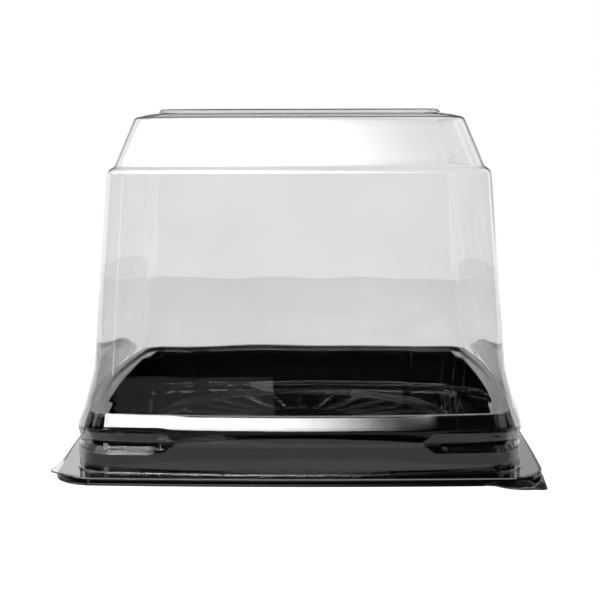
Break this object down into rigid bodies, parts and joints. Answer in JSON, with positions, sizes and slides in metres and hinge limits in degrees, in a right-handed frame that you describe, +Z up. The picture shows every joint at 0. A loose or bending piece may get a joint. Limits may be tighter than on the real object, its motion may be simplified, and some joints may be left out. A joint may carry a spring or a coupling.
{
  "type": "cake box",
  "caption": "Square cake box: a black plastic tray with a deep well, and a tall clear dome lid that snaps over its rim and lifts off.",
  "frame": {"origin": "middle of the box's footprint, the tray's pull tab included, on the surface that the tray stands on", "axes": "+Z up, the way the lid lifts; -Y towards the front, where both pull tabs are; +X to the right, the side of the tray's tab"},
  "size_m": [0.207, 0.2126, 0.1521],
  "materials": {
    "black_sheet": "thin formed sheet, glossy",
    "clear_sheet": "thin formed sheet, clear and glossy"
  },
  "bodies": {
    "tray": {"base_tray": "black_sheet"},
    "lid": {"dome_lid": "clear_sheet"}
  },
  "joints": [
    {"name": "lid_lift", "type": "slide", "parent": "tray", "child": "lid", "axis": [0, 0, 1], "range_m": [0, 0.15]}
  ]
}
